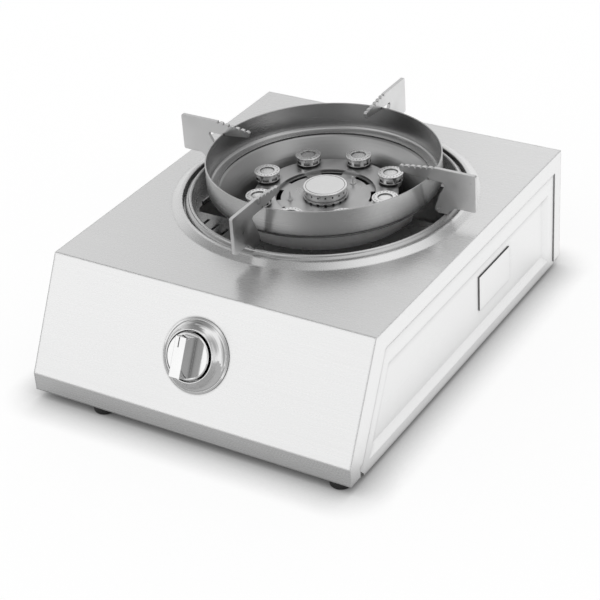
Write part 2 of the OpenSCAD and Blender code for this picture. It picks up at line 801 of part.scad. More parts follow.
module gas_valve() {
    color("darkkhaki") difference() {
        union() {
            at_knob() {
                translate([0, 0, valve_face - 22]) cylinder(r = valve_housing_r, h = 22);
                translate([-flange_half_w, -flange_half_h, valve_face - flange_t])
                    cube([2 * flange_half_w, 2 * flange_half_h, flange_t]);
            }
            translate([-valve_half_w, valve_front_y, feed_z - valve_h / 2])
                cube([2 * valve_half_w, valve_depth, valve_h]);
            for (s = [-1, 1])
                rod_y(s * tube_half_gap, feed_z, valve_back_y - 1, valve_back_y + outlet_boss_len, 7);
        }
        at_knob() translate([0, 0, stem_hole_low]) cylinder(r = stem_r + run_gap, h = 40);
        for (s = [-1, 1]) at_knob() translate([s * valve_screw_x, 0, valve_face - flange_t - 1])
            cylinder(r = screw_r + screw_gap, h = flange_t + 2);
    }
}

// Point in Y and Z at height h over the sloped front and distance v up the slope from the knob's axis
function slope_point(h, v) = [knob_y - h * cos(slope_tilt) + v * sin(slope_tilt),
    knob_z + h * sin(slope_tilt) + v * cos(slope_tilt)];

module valve_bracket() {
    t = bracket_t;
    half = valve_bracket_half_w;
    reach = valve_bracket_reach;
    foot_len = valve_bracket_foot;
    low = pan_z + sheet_t;
    leg = slope_point(valve_face + t, -reach);
    bend = -reach + t * (1 - cos(slope_tilt)) / sin(slope_tilt);
    color("lightslategray") difference() {
        along_x(-half, half) polygon([
            slope_point(valve_face + t, reach), leg, [leg.x, low + t], [leg.x - foot_len, low + t],
            [leg.x - foot_len, low], [leg.x + t, low], slope_point(valve_face, bend),
            slope_point(valve_face, reach)]);
        at_knob() translate([0, 0, valve_face - t]) cylinder(r = spring_r + 2.5, h = 3 * t);
        for (s = [-1, 1]) at_knob() translate([s * valve_screw_x, 0, valve_face - t])
            cylinder(r = screw_r + screw_gap, h = 3 * t);
    }
}

module valve_screws() {
    color("dimgray") for (s = [-1, 1]) at_knob() translate([s * valve_screw_x, 0, valve_face]) {
        translate([0, 0, bracket_t]) cylinder(r = screw_head_r, h = screw_head_t);
        translate([0, 0, -flange_t - screw_past])
            cylinder(r = screw_r, h = screw_past + flange_t + bracket_t + screw_head_t / 2);
    }
}

module flame_safety_magnet() {
    color("goldenrod") translate([0, pipe_y, feed_z - valve_h / 2 - magnet_len])
        cylinder(r = magnet_r, h = magnet_len);
}

module piezo_igniter() {
    color("ivory") translate([-valve_half_w - piezo_w, pipe_y - 7, feed_z - 8]) cube([piezo_w, 14, 16]);
}

// Brass injector at one side of the middle, in front of its mixing tube
module injector(x) {
    hex_r = 6;
    orifice_r = 0.6;
    start = valve_back_y + outlet_boss_len;
    color("gold") difference() {
        union() {
            translate([x, start + injector_hex_len, feed_z]) rotate([90, 0, 0])
                cylinder(r = hex_r, h = injector_hex_len, $fn = 6);
            rod_y(x, feed_z, start + injector_hex_len, injector_tip_y, injector_r);
        }
        rod_y(x, feed_z, start - 1, injector_tip_y + 1, orifice_r);
    }
}

module outer_injector() {
    injector(-tube_half_gap);
}

module inner_injector() {
    injector(tube_half_gap);
}

// Air windows through a ring of the given reach, spread round the axis of a mixing tube
module window_cuts(x, y0, y1, reach) {
    window_w = 7;
    for (i = [0:air_windows - 1])
        translate([x, y0, feed_z]) rotate([0, 45 + 360 * i / air_windows, 0])
            translate([-window_w / 2, 0, 4]) cube([window_w, y1 - y0, reach]);
}

bell_y = fold_y + bell_from_fold;

// Sleeve that turns on a bell mouth and covers its air windows
module air_shutter(x) {
    sleeve_in = bell_r + run_gap;
    sleeve_out = sleeve_in + shutter_wall;
    y0 = bell_y + 1;
    y1 = bell_y + bell_len - 2;
    color("silver") {
        difference() {
            rod_y(x, feed_z, y0, y1, sleeve_out);
            rod_y(x, feed_z, y0 - 1, y1 + 1, sleeve_in);
            window_cuts(x, y0 + 3, y1 - 2, bell_r + 6);
        }
        translate([x - 3, y0, feed_z - sleeve_out - shutter_lever]) cube([6, 2, shutter_lever + 0.4]);
    }
}

module outer_air_shutter() {
    air_shutter(-tube_half_gap);
}

module inner_air_shutter() {
    air_shutter(tube_half_gap);
}

// Mixing tube with a bell mouth, a run along Y, a bend and a riser to the burner
module mixing_tube(x, r, riser_y, riser_z) {
    taper = 8;
    bend_y = riser_y - tube_bend_r;
    color("slategray") difference() {
        union() {
            rod_y(x, feed_z, bell_y, bell_y + bell_len, bell_r);
            translate([x, bell_y + bell_len, feed_z]) rotate([-90, 0, 0])
                cylinder(r1 = bell_r, r2 = r, h = taper);
            tube_run(x, r, bend_y, riser_y, riser_z, bell_y + bell_len);
        }
        rod_y(x, feed_z, bell_y - 1, bell_y + bell_len - 1, bell_r - tube_wall);
        translate([x, bell_y + bell_len - 1, feed_z]) rotate([-90, 0, 0])
            cylinder(r1 = bell_r - tube_wall, r2 = r - tube_wall, h = taper);
        tube_run(x, r - tube_wall, bend_y, riser_y, riser_z + 1, bell_y + bell_len + taper - 2);
        window_cuts(x, bell_y + 4, bell_y + bell_len - 4, bell_r);
    }
}

// Solid core of a mixing tube: a straight run, a quarter bend and a riser
module tube_run(x, r, bend_y, riser_y, riser_z, start_y) {
    rod_y(x, feed_z, start_y, bend_y, r);
    translate([x, bend_y, feed_z + tube_bend_r]) rotate([0, 90, 0])
        rotate_extrude(angle = 90, $fn = 64) translate([tube_bend_r, 0]) circle(r = r, $fn = 48);
    translate([x, riser_y, feed_z + tube_bend_r]) cylinder(r = r, h = riser_z - feed_z - tube_bend_r);
}

outer_riser_y = burner_y - sqrt(channel_mid_r * channel_mid_r - tube_half_gap * tube_half_gap);

module outer_mixing_tube() {
    mixing_tube(-tube_half_gap, outer_tube_r, outer_riser_y, channel_low_z);
}

module inner_mixing_tube() {
    mixing_tube(tube_half_gap, inner_tube_r, burner_y, cup_low_z);
}

module gas_pipe() {
    start_x = valve_half_w + pipe_nut_len;
    turn_x = inlet_x - pipe_bend_r;
    end_y = rear_panel_y - inlet_shank_len + pipe_socket;
    color("goldenrod") difference() {
        pipe_core(start_x, turn_x, end_y, pipe_r);
        pipe_core(start_x - 1, turn_x, end_y + 1, pipe_r - pipe_wall);
    }
}

// Solid core of the gas pipe
module pipe_core(start_x, turn_x, end_y, r) {
    rod_x(pipe_y, feed_z, start_x, turn_x, r);
    translate([turn_x, pipe_y + pipe_bend_r, feed_z]) rotate([0, 0, -90])
        rotate_extrude(angle = 90, $fn = 64) translate([pipe_bend_r, 0]) circle(r = r, $fn = 48);
    rod_y(inlet_x, feed_z, pipe_y + pipe_bend_r, end_y, r);
}

module pipe_nut() {
    color("gold") difference() {
        translate([valve_half_w, pipe_y, feed_z]) rotate([0, 90, 0])
            cylinder(r = pipe_r + 3.5, h = pipe_nut_len, $fn = 6);
        rod_x(pipe_y, feed_z, valve_half_w - 1, valve_half_w + pipe_nut_len + 1, pipe_r - pipe_wall);
    }
}

module inlet_fitting() {
    shank_y = rear_panel_y - inlet_shank_len;
    color("gold") difference() {
        union() {
            rod_y(inlet_x, feed_z, shank_y, rear_in_y, inlet_shank_r);
            translate([inlet_x, rear_in_y + inlet_hex_t, feed_z]) rotate([90, 0, 0])
                cylinder(r = thread_r + 4, h = inlet_hex_t, $fn = 6);
            rod_y(inlet_x, feed_z, rear_in_y + inlet_hex_t, back_y + inlet_reach, thread_r);
        }
        rod_y(inlet_x, feed_z, shank_y - 1, back_y + inlet_reach + 1, inlet_bore_r);
        rod_y(inlet_x, feed_z, shank_y - 1, shank_y + pipe_socket, pipe_r + screw_gap);
    }
}

module inlet_nut() {
    nut_t = 6;
    color("gold") difference() {
        translate([inlet_x, rear_panel_y, feed_z]) rotate([90, 0, 0])
            cylinder(r = inlet_shank_r + 5, h = nut_t, $fn = 6);
        rod_y(inlet_x, feed_z, rear_panel_y - nut_t - 1, rear_panel_y + 1, inlet_shank_r + screw_gap);
    }
}

// Repeats its children at the small heads' places
module round_heads() {
    for (i = [0:head_count - 1]) rotate([0, 0, 360 * i / head_count])
        translate([head_circle_r, 0, 0]) children();
}

module burner_body() {
    floor_t = 3;
    boss_h = shank_len + 1;
    neck_r = centre_sleeve_r;
    shoulder_z = cup_low_z + cup_h;
    spoke_low = channel_low_z + 3;
    spoke_h = 8;
    color("darkslategray") translate([0, burner_y, 0]) difference() {
        union() {
            rotate_extrude() polygon([
                [channel_in_r, channel_low_z], [deck_r, channel_low_z], [deck_r, deck_under_z],
                [deck_r - cast_wall, deck_under_z], [deck_r - cast_wall, channel_low_z + floor_t],
                [channel_in_r + cast_wall, channel_low_z + floor_t],
                [channel_in_r + cast_wall, deck_mid_z], [channel_in_r, deck_mid_z]]);
            round_heads() translate([0, 0, deck_under_z - boss_h]) cylinder(r = boss_r, h = boss_h);
            rotate_extrude() polygon([
                [0, cup_low_z], [cup_r, cup_low_z], [cup_r, shoulder_z - 4], [neck_r + 3, shoulder_z],
                [neck_r, shoulder_z], [neck_r, deck_mid_z], [centre_bore_r, deck_mid_z],
                [centre_bore_r, shoulder_z - 3], [cup_r - cast_wall, shoulder_z - 8],
                [cup_r - cast_wall, cup_low_z + floor_t], [0, cup_low_z + floor_t]]);
            for (a = [0:90:270]) rotate([0, 0, a])
                translate([cup_r - 1, -spoke_w / 2, spoke_low])
                    cube([channel_in_r - cup_r + 2, spoke_w, spoke_h]);
        }
        round_heads() translate([0, 0, deck_under_z - shank_len])
            cylinder(r = shank_r + screw_gap, h = shank_len + 1);
        round_heads() translate([0, 0, deck_under_z - boss_h - 0.5]) cylinder(r = head_bore_r, h = boss_h);
        translate([-tube_half_gap, outer_riser_y - burner_y, channel_low_z - 1])
            cylinder(r = outer_tube_r - tube_wall, h = floor_t + 2);
        translate([tube_half_gap, 0, cup_low_z - 1])
            cylinder(r = inner_tube_r - tube_wall, h = floor_t + 2);
        for (s = [-1, 1]) translate([s * channel_mid_r, 0, channel_low_z - 1])
            cylinder(r = screw_r + screw_gap, h = floor_t + 2);
    }
}

// Arc-shaped cut between two radii
module arc_cut(r_out, width, span, h) {
    rotate([0, 0, -span / 2]) rotate_extrude(angle = span)
        translate([r_out - width, 0]) square([width, h]);
}

module burner_deck() {
    probe_hole_r = probe_ceramic_r + screw_gap;
    air_slot_r = deck_step_r - deck_lap - air_slot_edge;
    cut_h = deck_mid_t + 2;
    color("lightslategray") translate([0, burner_y, 0]) difference() {
        union() {
            difference() {
                union() {
                    translate([0, 0, deck_under_z]) cylinder(r = deck_r, h = deck_t);
                    round_heads() translate([0, 0, deck_under_z]) cylinder(r = boss_r, h = deck_t);
                }
                translate([0, 0, deck_under_z - 1]) cylinder(r = deck_step_r - deck_lap, h = deck_t + 2);
            }
            translate([0, 0, deck_mid_z]) cylinder(r = deck_step_r, h = deck_mid_t);
        }
        translate([0, 0, deck_mid_z - 1]) cylinder(r = deck_hole_r, h = cut_h);
        for (i = [0:air_slots - 1]) rotate([0, 0, 360 * (i + 0.5) / air_slots])
            translate([0, 0, deck_mid_z - 1]) arc_cut(air_slot_r, air_slot_w, air_slot_span, cut_h);
        for (a = [electrode_angle, sensor_angle]) rotate([0, 0, a])
            translate([probe_r, 0, deck_mid_z - 1]) cylinder(r = probe_hole_r, h = cut_h);
        round_heads() translate([0, 0, deck_under_z - 1]) cylinder(r = shank_r + screw_gap, h = deck_t + 2);
    }
}

// Small burner head number i, counted from the right, turning towards the back
module outer_head(i) {
    foot_z = -deck_drop;
    wall_z = foot_z + head_foot_h;
    cap_z = head_top - head_cap_t;
    disc_z = head_top - head_disc_depth;
    wall_r = head_cap_r - head_wall_in;
    edge = 0.3;
    disc_t = 1.2;
    port_z = wall_z + 0.9;
    color("silver") at_burner() rotate([0, 0, 360 * (i - 1) / head_count])
        translate([head_circle_r, 0, 0]) difference() {
            rotate_extrude($fn = 64) polygon([
                [head_bore_r, foot_z - deck_t - shank_len], [shank_r, foot_z - deck_t - shank_len],
                [shank_r, foot_z], [head_foot_r, foot_z], [head_foot_r, wall_z], [wall_r, wall_z],
                [wall_r, cap_z], [head_cap_r, cap_z], [head_cap_r, head_top - edge],
                [head_cap_r - edge, head_top], [head_disc_r, head_top], [head_disc_r, disc_z],
                [0, disc_z], [0, disc_z - disc_t], [head_bore_r, disc_z - disc_t]]);
            for (k = [0:head_ports - 1]) rotate([0, 0, 360 * (k + 0.5) / head_ports])
                translate([wall_r - port_depth, -port_w / 2, port_z]) cube([2 * port_depth, port_w, port_h]);
            for (k = [0:rim_holes - 1]) rotate([0, 0, 360 * k / rim_holes])
                translate([head_cap_r - rim_hole_in, 0, cap_z]) cylinder(r = rim_hole_r, h = 2 * head_cap_t, $fn = 16);
        }
}

module centre_head() {
    low = deck_mid_z - top_z;
    wall_low = -deck_drop - deck_t + 0.2;
    high = cap_top - cap_t - seat_gap;
    wall_r = cap_r - centre_wall_in;
    flange_r = cap_r + 0.3;
    flange_h = 2.4;
    port_z = high - centre_port_r - 1.2;
    color("gray") at_burner() difference() {
        rotate_extrude() polygon([
            [centre_bore_r, low], [centre_sleeve_r, low], [centre_sleeve_r, wall_low],
            [flange_r, wall_low], [flange_r, wall_low + flange_h], [wall_r, wall_low + flange_h],
            [wall_r, high], [centre_bore_r, high]]);
        for (k = [0:centre_ports - 1]) rotate([0, 0, 360 * k / centre_ports]) {
            translate([centre_bore_r - 1, 0, port_z]) rotate([0, 90, 0])
                cylinder(r = centre_port_r, h = wall_r - centre_bore_r + 2, $fn = 24);
            translate([centre_sleeve_r + 0.6, -centre_slot_w / 2, wall_low - 1])
                cube([flange_r, centre_slot_w, flange_h]);
        }
    }
}

module centre_cap() {
    spigot_h = 4;
    spigot_r = centre_bore_r - seat_gap;
    spigot_t = 2;
    edge = 0.4;
    groove = 0.3;
    low = cap_top - cap_t;
    color("whitesmoke") at_burner() rotate_extrude() polygon([
        [0, low], [spigot_r - spigot_t, low], [spigot_r - spigot_t, low - spigot_h],
        [spigot_r, low - spigot_h], [spigot_r, low], [cap_r, low],
        [cap_r, cap_top - edge], [cap_r - edge, cap_top], [cap_r - 2, cap_top],
        [cap_r - 2 - groove, cap_top - groove], [cap_r - 2 - 2 * groove, cap_top], [0, cap_top]]);
}

// Upright bracket from the bottom pan to the underside of the burner's channel
module burner_bracket_body() {
    t = bracket_t;
    low = pan_z + sheet_t;
    flange = channel_mid_r - channel_in_r + 7;
    wall_x = channel_in_r + t;
    translate([0, burner_y - bracket_half_y, 0]) difference() {
        union() {
            translate([wall_x, 0, low]) cube([t, 2 * bracket_half_y, channel_low_z - low]);
            translate([wall_x, 0, channel_low_z - t]) cube([flange, 2 * bracket_half_y, t]);
            translate([wall_x, 0, low]) cube([flange, 2 * bracket_half_y, t]);
        }
        translate([channel_mid_r, bracket_half_y, channel_low_z - 2 * t])
            cylinder(r = screw_r + screw_gap, h = 3 * t);
    }
}

module burner_bracket_right() {
    color("lightslategray") burner_bracket_body();
}

module burner_bracket_left() {
    color("lightslategray") mirror([1, 0, 0]) burner_bracket_body();
}

module bracket_screws() {
    color("dimgray") for (s = [-1, 1]) translate([s * channel_mid_r, burner_y, channel_low_z - bracket_t]) {
        translate([0, 0, -screw_head_t]) cylinder(r = screw_head_r, h = screw_head_t);
        translate([0, 0, -screw_head_t / 2])
            cylinder(r = screw_r, h = screw_head_t / 2 + bracket_t + screw_past);
    }
}

// Ceramic body of a probe, which ends just over the sunk middle of the deck
module probe_ceramic(angle) {
    top = deck_under_z + 0.6;
    translate([0, burner_y, 0]) rotate([0, 0, angle]) translate([probe_r, 0, probe_low_z])
        cylinder(r = probe_ceramic_r, h = top - probe_low_z);
}

// Electrode whose metal point stands over the deck
module ignition_electrode() {
    point_r = 1.6;
    color("dimgray") {
        probe_ceramic(electrode_angle);
        translate([0, burner_y, deck_under_z]) rotate([0, 0, electrode_angle]) translate([probe_r, 0, 0])
            cylinder(r1 = point_r, r2 = 0.2, h = electrode_h);
    }
}

// Flame sensor, a short thin rod
module flame_sensor() {
    rod_r = 0.9;
    color("silver") {
        probe_ceramic(sensor_angle);
        translate([0, burner_y, deck_under_z]) rotate([0, 0, sensor_angle]) translate([probe_r, 0, 0])
            cylinder(r = rod_r, h = electrode_h - 1);
    }
}

// Point under a probe, where its lead starts
function probe_end(angle) = [probe_r * cos(angle), burner_y + probe_r * sin(angle), probe_low_z];

// Smooth path through a list of points, n steps from each point to the next
function smooth(p, n) = let (m = len(p) - 1) concat([p[0]],
    [for (i = [0:m - 1]) let (a = p[max(i - 1, 0)], b = p[i], c = p[i + 1], d = p[min(i + 2, m)])
        for (k = [1:n]) let (s = k / n)
            b + (c - a) * s / 2 + (2 * a - 5 * b + 4 * c - d) * s * s / 2
                + (3 * b - a - 3 * c + d) * s * s * s / 2]);

// From the electrode down beside the outer mixing tube and forward to the igniter's left end
module ignition_lead() {
    start = probe_end(electrode_angle) - [0, 0, seat_gap];
    end = [-valve_half_w - piezo_w - seat_gap, pipe_y, feed_z + 3];
    route = [start, start - [0, 0, 5], [start.x - 7, start.y - 6, feed_z - 3],
        [start.x - 23, start.y - 40, feed_z - 18], [end.x - 17, end.y + 42, feed_z - 14],
        [end.x - 16, end.y + 6, feed_z + 1], end - [5, 0, 0], end];
    color("firebrick") tube(smooth(route, 6), lead_r, 8);
}

// From the flame sensor past the inner mixing tube and under the shutters to the magnet
module sensor_lead() {
    start = probe_end(sensor_angle) - [0, 0, seat_gap];
    end = [0, pipe_y, feed_z - valve_h / 2 - magnet_len - seat_gap];
    side_x = tube_half_gap + bell_r + 3 * lead_r;
    low_z = pan_z + sheet_t + 4;
    route = [start, start - [0, 0, 5], [side_x, start.y - 9, feed_z + 4],
        [side_x + 2, start.y - 42, feed_z - 18], [end.x + 14, end.y + 52, low_z + 8],
        [end.x + 4, end.y + 30, low_z + 2], [end.x, end.y + 9, low_z], end - [0, 0, 5], end];
    color("peru") tube(smooth(route, 6), lead_r, 8);
}

module drip_tray() {
    t = tray_t;
    foot_z = -ledge_drop + seat_gap;
    wall_r = tray_wall_r;
    lip_t = 1.5;
    lip_in = 12;
    color("silver") at_burner() {
        difference() {
            rotate_extrude($fn = 180) polygon([
                [tray_r, foot_z], [tray_r, bead_h - 4], [tray_r - 1.2, bead_h - 2.8],
                [bead_r + bead_half_w + 0.4, bead_h - 1.6], [bead_r + bead_half_w, bead_h - 0.6],
                [bead_r + 0.4, bead_h], [bead_r - 0.4, bead_h], [wall_r, bead_h - 0.8],
                [wall_r, -tray_depth], [tray_hole_r, -tray_depth], [tray_hole_r, -tray_depth - t],
                [wall_r + t, -tray_depth - t], [wall_r + t, bead_h - 2.6],
                [tray_r - t, bead_h - 4.4], [tray_r - t, foot_z]]);
            translate([0, 0, -tray_depth - 2 * t]) intersection() {
                cylinder(r = wall_r - floor_edge, h = 3 * t);
                union() {
                    translate([-window_left, -window_half, 0]) cube([window_left / 2, 2 * window_half, 3 * t]);
                    translate([window_right / 2, window_front, 0])
                        cube([window_right / 2, window_half, 3 * t]);
                }
            }
            for (i = [0:slot_count - 1])
                translate([slot_pitch * i - slot_first_x - slot_w / 2,
                           -slot_step * i - slot_first_y - slot_len / 2, -tray_depth - 2 * t])
                    cube([slot_w, slot_len, 3 * t]);
        }
        translate([-window_left - lip_t, lip_in - window_half, -tray_depth - t / 2])
            cube([lip_t, 2 * (window_half - lip_in), window_lip_h + t / 2]);
    }
}

module wind_ring() {
    t = ring_t;
    round_z = ring_low + ring_round;
    mid_r = ring_r - ring_round;
    color("darkgray") at_burner() rotate_extrude($fn = 180) polygon(concat(
        [[ring_r - 0.3, rim_h], [ring_r, rim_h - 0.3]],
        arc(mid_r, round_z, ring_round, 0, -90, 8),
        [[ring_ledge_r, ring_low], [ring_ledge_r, ring_low + t]],
        arc(mid_r, round_z, ring_round - t, -90, 0, 8),
        [[ring_r - t, rim_h - 0.3], [ring_r - t + 0.3, rim_h]]));
}

// The skirt's arc, worked out from its two edges and its lean at the lower one
skirt_span = ring_low + skirt_low;
skirt_high_r = ring_ledge_r + skirt_under;
skirt_high_lean = 2 * atan((skirt_high_r - skirt_low_r) / skirt_span) - skirt_low_lean;
skirt_arc_r = skirt_span / (sin(skirt_high_lean) - sin(skirt_low_lean));
skirt_arc_x = skirt_low_r + skirt_arc_r * cos(skirt_low_lean);
skirt_arc_z = -skirt_low - skirt_arc_r * sin(skirt_low_lean);

module flame_skirt() {
    steps = 12;
    color("whitesmoke") at_burner() rotate_extrude($fn = 180) polygon(concat(
        arc(skirt_arc_x, skirt_arc_z, skirt_arc_r, 180 - skirt_low_lean, 180 - skirt_high_lean, steps),
        [for (p = arc(skirt_arc_x, skirt_arc_z, skirt_arc_r + skirt_t,
                      180 - skirt_high_lean, 180 - skirt_low_lean, steps))
            [p.x, min(p.y, ring_low)]]));
}

// Outline of one pan-support blade: distance from the burner's axis and height over the flat top
function blade_outline() = let (
        c = blade_corner,
        seat = bead_h + seat_gap,
        bevel = 2.4,
        heel = 2.6,
        leg_window_r = leg_in_r + leg_flare,
        tip_top = blade_top - tip_fall,
        step = (teeth_r - blade_tip_r) / tooth_count,
        arm_low = rim_h - rim_notch,
        slot_out = ring_r + screw_gap,
        slot_in = ring_r - ring_t - screw_gap) concat(
    [for (k = [0:tooth_count - 1]) let (r = blade_tip_r + step * k, z = tip_top + tip_fall * k / tooth_count)
        each [[r, z - (k == 0 ? tooth_depth / 2 : 0)], [r + 0.25 * step, z + 0.4], [r + 0.6 * step, z + 0.4],
              [r + 0.9 * step, z - tooth_depth + 0.6]]],
    [[teeth_r, blade_top], [blade_out_r - c, blade_top], [blade_out_r, blade_top - c],
     [blade_out_r, blade_low + c], [blade_out_r - c, blade_low], [opening_r + bevel, blade_low],
     [bead_r + heel + bevel / 2, seat + bevel], [bead_r + heel, seat], [leg_in_r + bevel, seat],
     [leg_in_r, seat + bevel], [leg_in_r, seat + 2 * bevel],
     [leg_in_r + 0.45 * leg_flare, (seat + arm_low) / 2 + bevel],
     [leg_window_r, arm_low - bevel], [leg_window_r - bevel / 2, arm_low],
     [slot_out, arm_low], [slot_out, rim_h], [slot_in, rim_h], [slot_in, arm_low],
     [slot_in - 2, arm_low], [blade_tip_r + 1.5, tip_top - tip_h]]);

module support_blade(angle) {
    color("darkgray") at_burner() rotate([0, 0, angle]) translate([0, blade_t / 2, 0])
        rotate([90, 0, 0]) linear_extrude(blade_t) polygon(blade_outline());
}

top_shell();
side_panel_left();
side_panel_right();
rear_panel();
bottom_pan();
feet();
foot_screws();
rear_screws();
knob_bezel();
knob();
knob_pointer();
valve_stem();
thrust_collar();
return_spring();
gas_valve();
valve_bracket();
valve_screws();
flame_safety_magnet();
piezo_igniter();
outer_injector();
inner_injector();
outer_air_shutter();
inner_air_shutter();
outer_mixing_tube();
inner_mixing_tube();
gas_pipe();
pipe_nut();
inlet_fitting();
inlet_nut();
burner_body();
burner_deck();
outer_head(1);  // outer_head_1
outer_head(2);  // outer_head_2
outer_head(3);  // outer_head_3
outer_head(4);  // outer_head_4
outer_head(5);  // outer_head_5
outer_head(6);  // outer_head_6
outer_head(7);  // outer_head_7
outer_head(8);  // outer_head_8
centre_head();
centre_cap();
burner_bracket_left();
burner_bracket_right();
bracket_screws();
ignition_electrode();
flame_sensor();
ignition_lead();
sensor_lead();
drip_tray();
wind_ring();
flame_skirt();
support_blade(0);  // support_blade_right
support_blade(90);  // support_blade_back
support_blade(180);  // support_blade_left
support_blade(270);  // support_blade_front
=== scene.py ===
"""Looks of a table-top gas stove with one nine-head burner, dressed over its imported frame.

Metres, +Z up, +X to the right, the sloped front faces -Y.
"""

import json
import math

import bpy
from mathutils import Matrix, Vector


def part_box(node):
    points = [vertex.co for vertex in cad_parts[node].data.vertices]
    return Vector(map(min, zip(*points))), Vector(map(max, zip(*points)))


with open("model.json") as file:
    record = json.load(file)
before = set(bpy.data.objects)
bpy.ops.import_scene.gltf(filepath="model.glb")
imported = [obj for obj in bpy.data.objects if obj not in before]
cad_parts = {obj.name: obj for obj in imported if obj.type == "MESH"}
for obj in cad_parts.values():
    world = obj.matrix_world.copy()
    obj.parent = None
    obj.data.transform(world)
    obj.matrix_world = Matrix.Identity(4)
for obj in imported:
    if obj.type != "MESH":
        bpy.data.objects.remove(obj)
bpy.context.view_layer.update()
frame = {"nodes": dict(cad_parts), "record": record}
nodes = frame["nodes"]

# Sizes of the shell that its box doesn't show
emboss_height = 0.0035
shell_height = 0.106
slope_run = 0.048

# Places read from the frame
shell_low, shell_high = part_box("top_shell")
ring_low, ring_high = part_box("wind_ring")
burner_x = (ring_low.x + ring_high.x) / 2
burner_y = (ring_low.y + ring_high.y) / 2
shell_base_z = shell_high.z - emboss_height - shell_height
front_y = shell_low.y
fold_y = front_y + slope_run


def make_camera():
    """A long lens from the front right, rolled a little, as the photograph was taken."""
    azimuth = math.radians(33.13)
    elevation = math.radians(31.59)
    roll = math.radians(-4.12)
    distance = 1.5546
    aim_behind_fold = 0.195
    aim_over_base = 0.06
    shift_right = -0.0312
    shift_up = -0.05943
    sensor_width = 36
    focal_picture_widths = 1788.4 / 600
    aim = Vector((0, fold_y + aim_behind_fold, shell_base_z + aim_over_base))
    back = Vector((
        math.sin(azimuth) * math.cos(elevation),
        -math.cos(azimuth) * math.cos(elevation),
        math.sin(elevation),
    ))
    level = Vector((math.cos(azimuth), math.sin(azimuth), 0))
    upward = back.cross(level)
    right = level * math.cos(roll) + upward * math.sin(roll)
    up = upward * math.cos(roll) - level * math.sin(roll)
    data = bpy.data.cameras.new("photo_camera")
    data.sensor_width = sensor_width
    data.lens = focal_picture_widths * sensor_width
    camera = bpy.data.objects.new("photo_camera", data)
    bpy.context.scene.collection.objects.link(camera)
    turn = Matrix((right, up, back)).transposed()
    place = aim + back * distance + right * shift_right + up * shift_up
    camera.matrix_world = Matrix.Translation(place) @ turn.to_4x4()
    bpy.context.scene.camera = camera


class Wiring:
    """Short ways to add nodes to a node tree and to join them."""

    def __init__(self, tree):
        self.tree = tree

    def node(self, kind, inputs=None, **settings):
        made = self.tree.nodes.new(kind)
        for key, value in settings.items():
            setattr(made, key, value)
        for key, value in (inputs or {}).items():
            self.set(made.inputs[key], value)
        return made

    def set(self, socket, value):
        """Join the socket to another one, or give it a plain value."""
        if isinstance(value, bpy.types.NodeSocket):
            self.tree.links.new(value, socket)
        else:
            socket.default_value = value

    def math(self, operation, a, b):
        return self.node("ShaderNodeMath", {0: a, 1: b}, operation=operation).outputs["Value"]

    def vector_math(self, operation, output, *vectors):
        made = self.node("ShaderNodeVectorMath", dict(enumerate(vectors)), operation=operation)
        return made.outputs[output]

    def span(self, value, low, high, start=0.3, end=0.7, **settings):
        """Take the range from start to end over into the range from low to high."""
        limits = {"From Min": start, "From Max": end, "To Min": low, "To Max": high}
        made = self.node("ShaderNodeMapRange", {"Value": value, **limits}, **settings)
        return made.outputs["Result"]

    def mix(self, share, a, b):
        """Mix two numbers, which have sockets 2 and 3 of the node."""
        return self.node("ShaderNodeMix", {0: share, 2: a, 3: b}).outputs[0]

    def mix_colours(self, share, a, b):
        """Mix two colours, which have sockets 6 and 7 of the node."""
        made = self.node("ShaderNodeMix", {0: share, 6: a, 7: b}, data_type="RGBA")
        return made.outputs[2]


class Shader(Wiring):
    """A node material on the Principled shader."""

    def __init__(self, name, **sockets):
        self.material = bpy.data.materials.new(name)
        self.material.use_nodes = True
        super().__init__(self.material.node_tree)
        self.surface = self.tree.nodes["Principled BSDF"]
        for socket, value in sockets.items():
            self.feed(socket.replace("_", " "), value)

    def feed(self, socket, value):
        self.set(self.surface.inputs[socket], value)

    def object_point(self, scale=(1, 1, 1), move=(0, 0, 0)):
        point = self.node("ShaderNodeTexCoord").outputs["Object"]
        mapping = self.node("ShaderNodeMapping", {"Vector": point, "Scale": scale, "Location": move})
        return mapping.outputs["Vector"]

    def noise(self, scale, detail=4):
        """Noise with so many specks in a metre along each axis."""
        point = self.object_point(scale)
        made = self.node(
            "ShaderNodeTexNoise", {"Vector": point, "Scale": 1, "Detail": detail, "Roughness": 0.6}
        )
        return made.outputs["Fac"]

    def crevice(self, reach, power):
        """Share of open surroundings, from 1 on an open face down to 0 in a narrow gap, by which the
        materials paint shade.
        """
        near = self.node("ShaderNodeAmbientOcclusion", {"Distance": reach}, samples=8)
        return self.math("POWER", near.outputs["AO"], power)

    def bump(self, height, distance, edge=0.0005):
        """Relief on the surface, with every sharp edge rounded by the given radius."""
        rounded = self.node("ShaderNodeBevel", {"Radius": edge}, samples=6).outputs["Normal"]
        made = self.node("ShaderNodeBump", {"Height": height, "Distance": distance, "Normal": rounded})
        self.feed("Normal", made.outputs["Normal"])


def grey(value):
    return (value, value, value, 1)


# Each material by its slot's name, as the functions below make it
slots = {}

# Share of its tone that steel keeps in the painted shade where it is crowded in
brushed_shade_share = 0.1
polished_shade_share = 0.15

# Depth of polishing marks
polish_depth = 0.000008


